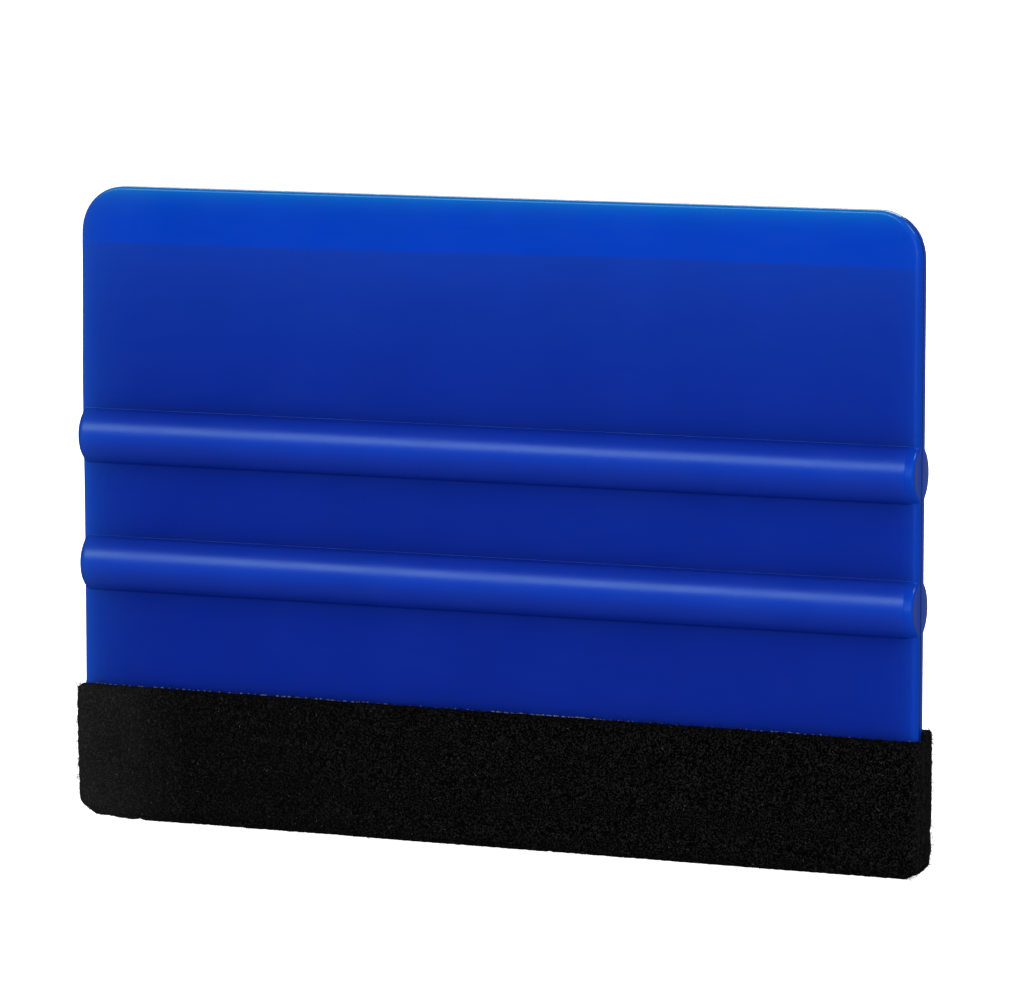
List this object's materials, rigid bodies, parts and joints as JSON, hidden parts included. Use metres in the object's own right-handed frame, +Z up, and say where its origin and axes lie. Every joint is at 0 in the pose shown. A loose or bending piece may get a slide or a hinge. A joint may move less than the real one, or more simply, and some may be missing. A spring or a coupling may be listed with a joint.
{
  "type": "squeegee applicator",
  "caption": "Flat blue plastic hand card with rounded corners, bevelled long edges, grip ribs on both faces and a black felt strip folded over one edge, for smoothing film.",
  "frame": {"origin": "middle of the felt working edge, where it meets the film, at half the felt strip's length and half the card's thickness", "axes": "+X along the working edges, +Y through the thickness towards the back face, +Z up to the plain edge"},
  "size_m": [0.1014, 0.006, 0.0726],
  "materials": {
    "blue_plastic": "satin moulded polypropylene, slightly translucent",
    "clear_adhesive": "clear, soft and glossy",
    "black_felt": "needled felt with a short nap"
  },
  "bodies": {
    "root": {"blade_card": "blue_plastic", "adhesive_film": "clear_adhesive", "felt_strip": "black_felt"}
  },
  "joints": []
}
